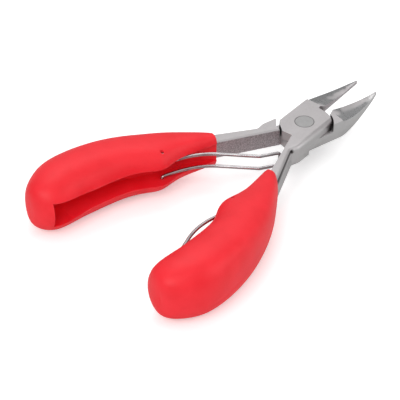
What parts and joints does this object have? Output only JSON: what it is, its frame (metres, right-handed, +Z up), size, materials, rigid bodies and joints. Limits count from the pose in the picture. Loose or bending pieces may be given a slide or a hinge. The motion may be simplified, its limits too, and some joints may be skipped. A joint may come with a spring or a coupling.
{
  "type": "spring-opened cutting nippers",
  "caption": "Small spring-opened cutting nippers: lap-joint steel jaws on a flush rivet, curved red moulded grips with channels, wire hairpin springs.",
  "frame": {"origin": "on the pivot axis, at the joint's flat underside", "axes": "+X towards the jaw tips along the line between the jaws, +Z up through the rivet, to the side whose lap plate carries the rivet head; handles half open at rest"},
  "size_m": [0.1318, 0.0848, 0.0224],
  "materials": {
    "lever_steel": "fine ground satin, with brighter hollow-ground blades",
    "rivet_steel": "ground flush, satin",
    "grip_plastic": "soft moulded plastic, semi-matte",
    "spring_wire": "bright drawn wire"
  },
  "bodies": {
    "left_handle": {"lower_lever": "lever_steel", "pivot_rivet": "rivet_steel", "left_grip": "grip_plastic"},
    "right_handle": {"upper_lever": "lever_steel", "right_grip": "grip_plastic"},
    "working_spring": {"working_spring": "spring_wire"},
    "stowed_spring": {"stowed_spring": "spring_wire"}
  },
  "joints": [
    {"name": "jaw_pivot", "type": "hinge", "parent": "left_handle", "child": "right_handle", "pos_m": [0, 0, 0], "axis": [0, 0, -1], "range_deg": [-3, 15.8], "stiffness_Nm_per_rad": 1.6},
    {"name": "working_spring_swing", "type": "hinge", "parent": "left_handle", "child": "working_spring", "pos_m": [-0.05255, 0.01708, 0.0035], "axis": [0, 0, 1], "range_deg": [-2.5, 11.5]},
    {"name": "stowed_spring_swing", "type": "hinge", "parent": "right_handle", "child": "stowed_spring", "pos_m": [-0.05255, -0.01708, 0.0035], "axis": [0, 0, -1], "range_deg": [0, 12]}
  ],
  "couplings": [
    {"joint": "working_spring_swing", "follows": "jaw_pivot", "ratio": 0.7}
  ]
}
